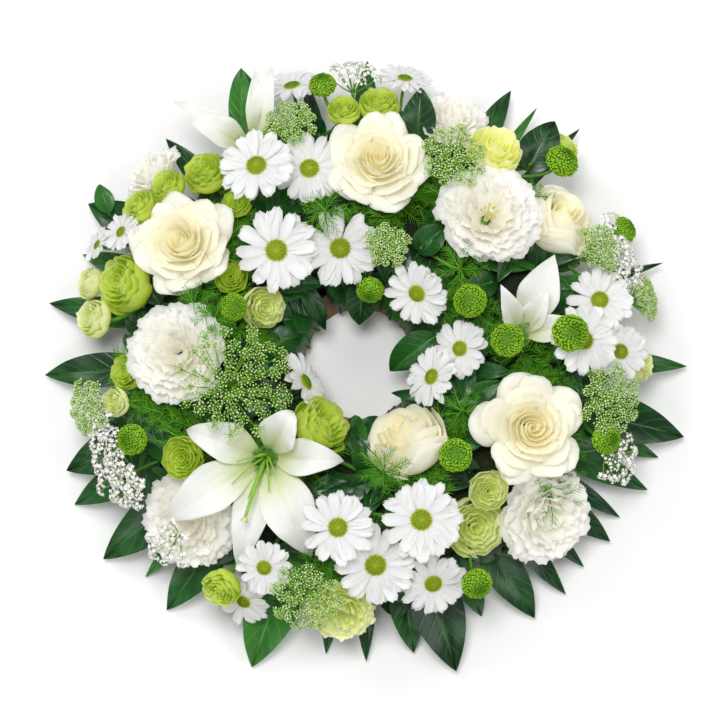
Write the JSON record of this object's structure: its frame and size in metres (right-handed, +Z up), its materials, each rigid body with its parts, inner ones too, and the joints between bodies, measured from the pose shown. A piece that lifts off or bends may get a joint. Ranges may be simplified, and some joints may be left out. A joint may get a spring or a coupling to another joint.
{
  "type": "funeral wreath",
  "caption": "Round funeral wreath of white roses, lilies and daisies with green foliage on a foam ring in a pulp tray; lies flat round a candle or marker",
  "frame": {"origin": "middle of the wreath's footprint, on the ground", "axes": "+Z up out of the flowers, +X right and +Y the top of the wreath as the picture looks at it"},
  "size_m": [0.516, 0.491, 0.1386],
  "materials": {
    "pulp": "moulded brown pulp, matt",
    "foam": "grey-tan floral foam, crumbly",
    "white_petals": "soft white petals",
    "ivory_petals": "soft ivory petals",
    "lime_blooms": "soft lime-green petals",
    "green_buttons": "tight bright green florets",
    "umbels_and_fronds": "fine fresh green stalks",
    "filler_florets": "tiny white florets",
    "leaves": "waxy dark green"
  },
  "bodies": {
    "root": {"pulp_tray": "pulp", "foam_ring": "foam", "lily_open": "white_petals", "rose_left": "ivory_petals", "rose_top": "ivory_petals", "rose_right": "ivory_petals", "lisianthus_centre_right": "white_petals", "rose_inner": "ivory_petals", "rose_far_right": "ivory_petals", "lime_inner": "lime_blooms", "lily_half_open": "white_petals", "lisianthus_left": "white_petals", "lisianthus_bottom_right": "white_petals", "daisies_upper_left": "white_petals", "daisies_bottom": "white_petals", "daisies_inner_right": "white_petals", "daisies_top_left": "white_petals", "daisies_right": "white_petals", "daisy_hole_left": "white_petals", "lime_left": "lime_blooms", "lime_upper_left": "lime_blooms", "lime_inner_left": "lime_blooms", "lime_lower_left": "lime_blooms", "lime_bottom_right": "lime_blooms", "lime_bottom": "lime_blooms", "lime_bottom_left": "lime_blooms", "lime_top_right": "lime_blooms", "lime_top": "lime_blooms", "lime_right": "lime_blooms", "buttons_right": "green_buttons", "lisianthus_bottom_left": "white_petals", "lisianthus_top": "white_petals", "lisianthus_upper_left": "white_petals", "lily_top_left": "white_petals", "daisies_top": "white_petals", "daisy_top_right": "white_petals", "daisies_lower_left": "white_petals", "daisy_bottom_right": "white_petals", "daisies_far_left": "white_petals", "umbel_front": "umbels_and_fronds", "umbel_right": "umbels_and_fronds", "umbel_top": "umbels_and_fronds", "umbel_upper_left": "umbels_and_fronds", "umbel_centre": "umbels_and_fronds", "umbel_bottom": "umbels_and_fronds", "umbel_far_right": "umbels_and_fronds", "umbel_far_left": "umbels_and_fronds", "fronds_bottom": "umbels_and_fronds", "fronds_left": "umbels_and_fronds", "filler_left": "filler_florets", "filler_top": "filler_florets", "leaves_top": "leaves", "leaves_right": "leaves", "leaves_bottom_right": "leaves", "leaves_bottom_left": "leaves", "leaves_left": "leaves", "leaves_hole_top": "leaves", "leaves_hole_left": "leaves", "leaves_hole_right": "leaves"}
  },
  "joints": []
}
